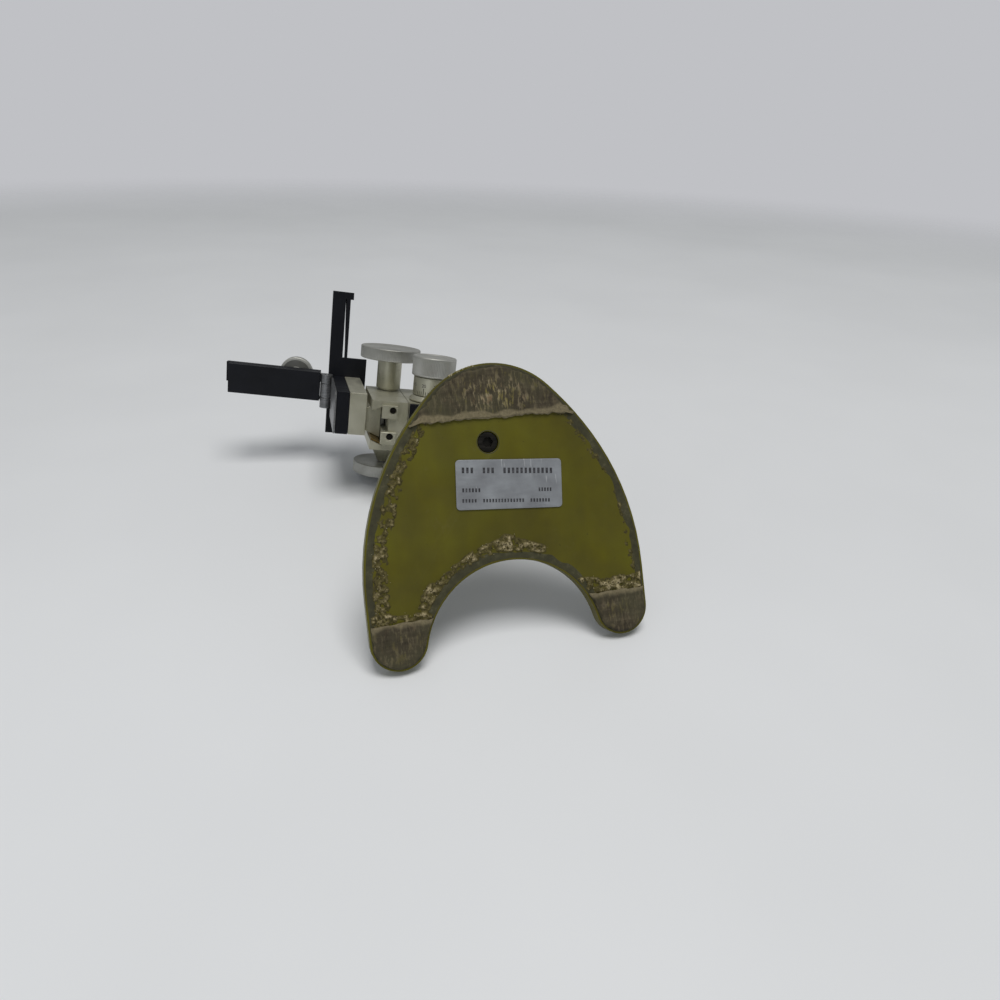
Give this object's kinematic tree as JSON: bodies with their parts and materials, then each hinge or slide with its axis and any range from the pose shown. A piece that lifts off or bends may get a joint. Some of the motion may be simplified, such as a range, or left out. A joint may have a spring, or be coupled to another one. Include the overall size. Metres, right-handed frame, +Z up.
{
  "type": "dental articulator",
  "caption": "Bench articulator stand: horseshoe base, swivelling column and tilting head, knob-driven fine and coarse slides, hinged clamp bar and slotted upright.",
  "frame": {"origin": "on the rear pad's standing face, on the base's centre line, 20 mm behind the column screw", "axes": "+Z up through the column, +Y towards the base's closed rear end, +X towards the clamp bar's side"},
  "size_m": [0.1731, 0.1936, 0.1807],
  "materials": {
    "olive_paint": "satin olive enamel",
    "satin_metal": "satin, faintly yellowed",
    "grey_steel": "brushed",
    "black_anodise": "satin black anodised",
    "dark_steel": "blackened",
    "brass": "dull",
    "pad": "worn matte",
    "label_foil": "satin foil"
  },
  "bodies": {
    "base": {"base_plate": "olive_paint", "rear_pad": "pad", "left_foot_pad": "pad", "right_foot_pad": "pad", "label_plate": "label_foil", "column_screw": "dark_steel"},
    "column": {"swivel_washer": "brass", "column": "satin_metal", "tilt_fork": "satin_metal", "tilt_bolt": "grey_steel"},
    "tilt_clamp": {"tilt_clamp_knob": "satin_metal"},
    "head": {"tilt_arm": "satin_metal", "adapter_plate": "satin_metal", "adapter_screw_1": "dark_steel", "adapter_screw_2": "dark_steel", "fine_body_cover": "black_anodise", "fine_body": "satin_metal", "fine_collar": "satin_metal"},
    "fine_drive": {"fine_spindle": "grey_steel", "spindle_locknut": "brass", "fine_thimble": "satin_metal", "fine_knob": "satin_metal"},
    "coarse": {"coarse_body": "satin_metal", "feed_nut": "brass", "upper_bush": "brass", "lower_bush": "brass", "gib_strip": "brass", "gib_screw_1": "dark_steel", "gib_screw_2": "dark_steel", "upper_stop_plate": "satin_metal", "lower_stop_plate": "satin_metal", "stop_plate_screw_1": "dark_steel", "stop_plate_screw_2": "dark_steel"},
    "coarse_drive": {"pinion": "brass", "pinion_shaft": "grey_steel", "upper_sleeve": "satin_metal", "lower_sleeve": "satin_metal", "upper_coarse_knob": "satin_metal", "lower_coarse_knob": "satin_metal"},
    "slide": {"slide_block": "satin_metal", "rack": "grey_steel", "backing_plate": "black_anodise", "fixed_leaf": "grey_steel", "leaf_screw_1": "grey_steel", "leaf_screw_2": "grey_steel", "hinge_pin": "grey_steel", "upright": "black_anodise", "arm_screw_1": "grey_steel", "arm_screw_2": "grey_steel", "stem_screw_1": "grey_steel", "stem_screw_2": "grey_steel"},
    "bar": {"bar_leaf": "grey_steel", "bar_plate": "black_anodise", "bar_rail": "black_anodise", "bar_clamp_screw": "grey_steel"},
    "bar_clamp": {"bar_clamp_knob": "satin_metal"}
  },
  "joints": [
    {"name": "column_swivel", "type": "hinge", "parent": "base", "child": "column", "pos_m": [0.0033, -0.02, 0.02], "axis": [0, 0, 1], "continuous": true},
    {"name": "head_tilt", "type": "hinge", "parent": "column", "child": "head", "pos_m": [0.0033, -0.02, 0.0615], "axis": [0.9882, 0.153, 0], "range_deg": [-12, 48]},
    {"name": "tilt_clamp_turn", "type": "hinge", "parent": "column", "child": "tilt_clamp", "pos_m": [-0.01647, -0.02306, 0.0615], "axis": [0.9882, 0.153, 0], "range_deg": [-180, 180]},
    {"name": "fine_knob_turn", "type": "hinge", "parent": "head", "child": "fine_drive", "pos_m": [0.00034, 0.02721, 0.10939], "axis": [-0.1455, 0.9399, -0.309], "range_deg": [-1441, 1441]},
    {"name": "fine_feed", "type": "slide", "parent": "head", "child": "coarse", "axis": [-0.1455, 0.9399, -0.309], "range_m": [-0.004, 0.004]},
    {"name": "pinion_turn", "type": "hinge", "parent": "coarse", "child": "coarse_drive", "pos_m": [0.01963, 0.03926, 0.13697], "axis": [-0.1455, 0.9399, -0.309], "range_deg": [-287, 79]},
    {"name": "coarse_feed", "type": "slide", "parent": "coarse", "child": "slide", "axis": [-0.0473, 0.3054, 0.9511], "range_m": [-0.006, 0.022]},
    {"name": "bar_fold", "type": "hinge", "parent": "slide", "child": "bar", "pos_m": [0.05606, 0.02815, 0.16369], "axis": [-0.1455, 0.9399, -0.309], "range_deg": [-28.5, 94.5]},
    {"name": "bar_clamp_turn", "type": "hinge", "parent": "bar", "child": "bar_clamp", "pos_m": [0.07186, 0.04159, 0.1735], "axis": [-0.1588, 0.2861, 0.9449], "range_deg": [-180, 180]}
  ],
  "couplings": [
    {"joint": "fine_knob_turn", "follows": "fine_feed", "rad_per_m": -6283.2},
    {"joint": "pinion_turn", "follows": "coarse_feed", "rad_per_m": -227.27}
  ]
}
